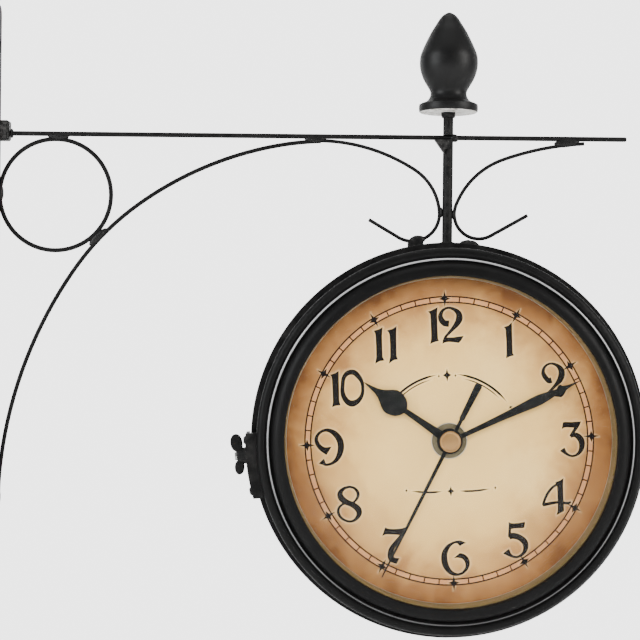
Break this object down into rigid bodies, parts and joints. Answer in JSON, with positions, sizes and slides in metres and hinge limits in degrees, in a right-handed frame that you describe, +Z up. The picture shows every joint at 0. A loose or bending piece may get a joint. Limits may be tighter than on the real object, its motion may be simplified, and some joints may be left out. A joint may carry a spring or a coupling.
{
  "type": "double sided station clock",
  "caption": "Round two-faced clock in a black case, hung under a scrolled wall bracket with a turned finial, with a hinged front door, wing nut latch and battery movements.",
  "frame": {"origin": "middle of the wall strip's two screw holes, on its back face, which is the wall", "axes": "+X out from the wall along the bar, -Y the way the front dial faces, +Z up"},
  "size_m": [0.347, 0.0826, 0.3261],
  "materials": {
    "black_iron": "satin black lacquer on iron",
    "case_black": "satin black lacquer on sheet steel",
    "bezel_black": "satin black lacquer on spun sheet",
    "finial_black": "satin black lacquer",
    "weld": "lacquered weld metal",
    "plated_steel": "plain steel",
    "brass_ring": "aged brass",
    "brass_part": "plain brass",
    "dial_print": "printed aged parchment tone on sheet",
    "clear_glass": "clear",
    "hand_black": "satin black",
    "black_plastic": "fine moulded texture",
    "white_plastic": "moulded acetal",
    "battery_sleeve": "plain sleeve on a steel can",
    "board": "coil and circuit board"
  },
  "bodies": {
    "bracket": {"wall_bar": "black_iron", "horizontal_bar": "black_iron", "bar_socket": "black_iron", "arch_brace": "black_iron", "corner_ring": "black_iron", "left_scroll": "black_iron", "right_scroll": "black_iron", "hanger_post": "black_iron", "post_gusset": "black_iron", "weld_beads": "weld", "finial": "finial_black", "finial_nut": "black_iron", "case_drum": "case_black", "case_saddle": "case_black", "case_leaf": "plated_steel", "hinge_pin": "plated_steel", "latch_stud": "plated_steel", "rear_bezel": "bezel_black", "rear_glass": "clear_glass", "rear_inner_ring": "brass_ring", "rear_dial": "dial_print", "rear_retaining_ring": "case_black", "rear_movement_housing": "black_plastic", "rear_movement_cover": "black_plastic", "rear_battery": "battery_sleeve", "rear_step_motor": "board", "rear_dial_washer": "brass_part", "rear_mounting_nut": "brass_part"},
    "front_door": {"front_bezel": "bezel_black", "front_glass": "clear_glass", "front_inner_ring": "brass_ring", "front_dial": "dial_print", "front_retaining_ring": "case_black", "front_movement_housing": "black_plastic", "front_movement_cover": "black_plastic", "front_battery": "battery_sleeve", "front_step_motor": "board", "front_dial_washer": "brass_part", "front_mounting_nut": "brass_part", "door_leaf": "plated_steel", "latch_strap": "case_black", "strap_rivets": "case_black"},
    "wing_nut": {"wing_nut": "case_black"},
    "front_hour": {"front_hour_hand": "hand_black", "front_hour_wheel": "white_plastic"},
    "front_minute": {"front_minute_hand": "hand_black", "front_cannon_pinion": "brass_part"},
    "front_seconds": {"front_second_hand": "hand_black", "front_second_arbor": "plated_steel"},
    "front_setting": {"front_setting_knob": "white_plastic", "front_motion_wheel": "white_plastic"},
    "rear_hour": {"rear_hour_hand": "hand_black", "rear_hour_wheel": "white_plastic"},
    "rear_minute": {"rear_minute_hand": "hand_black", "rear_cannon_pinion": "brass_part"},
    "rear_seconds": {"rear_second_hand": "hand_black", "rear_second_arbor": "plated_steel"},
    "rear_setting": {"rear_setting_knob": "white_plastic", "rear_motion_wheel": "white_plastic"}
  },
  "joints": [
    {"name": "door_swing", "type": "hinge", "parent": "bracket", "child": "front_door", "pos_m": [0.3447, -0.02375, -0.0901], "axis": [0, 0, 1], "range_deg": [0, 110]},
    {"name": "wing_nut_turn", "type": "hinge", "parent": "bracket", "child": "wing_nut", "pos_m": [0.13671, -0.0185, -0.09935], "axis": [-0.996, 0, -0.0889], "continuous": true},
    {"name": "front_minute_turn", "type": "hinge", "parent": "front_door", "child": "front_minute", "pos_m": [0.2403, -0.03, -0.0901], "axis": [0, 1, 0], "continuous": true},
    {"name": "front_hour_turn", "type": "hinge", "parent": "front_door", "child": "front_hour", "pos_m": [0.2403, -0.03, -0.0901], "axis": [0, 1, 0], "continuous": true},
    {"name": "front_setting_turn", "type": "hinge", "parent": "front_door", "child": "front_setting", "pos_m": [0.2403, -0.02, -0.0781], "axis": [0, 1, 0], "continuous": true},
    {"name": "front_seconds_turn", "type": "hinge", "parent": "front_door", "child": "front_seconds", "pos_m": [0.2403, -0.03, -0.0901], "axis": [0, 1, 0], "continuous": true},
    {"name": "rear_minute_turn", "type": "hinge", "parent": "bracket", "child": "rear_minute", "pos_m": [0.2403, 0.03, -0.0901], "axis": [0, -1, 0], "continuous": true},
    {"name": "rear_hour_turn", "type": "hinge", "parent": "bracket", "child": "rear_hour", "pos_m": [0.2403, 0.03, -0.0901], "axis": [0, -1, 0], "continuous": true},
    {"name": "rear_setting_turn", "type": "hinge", "parent": "bracket", "child": "rear_setting", "pos_m": [0.2403, 0.02, -0.0781], "axis": [0, -1, 0], "continuous": true},
    {"name": "rear_seconds_turn", "type": "hinge", "parent": "bracket", "child": "rear_seconds", "pos_m": [0.2403, 0.03, -0.0901], "axis": [0, -1, 0], "continuous": true}
  ],
  "couplings": [
    {"joint": "front_hour_turn", "follows": "front_minute_turn", "ratio": 0.083333},
    {"joint": "front_setting_turn", "follows": "front_minute_turn", "ratio": -0.33333},
    {"joint": "rear_hour_turn", "follows": "rear_minute_turn", "ratio": 0.083333},
    {"joint": "rear_setting_turn", "follows": "rear_minute_turn", "ratio": -0.33333}
  ]
}
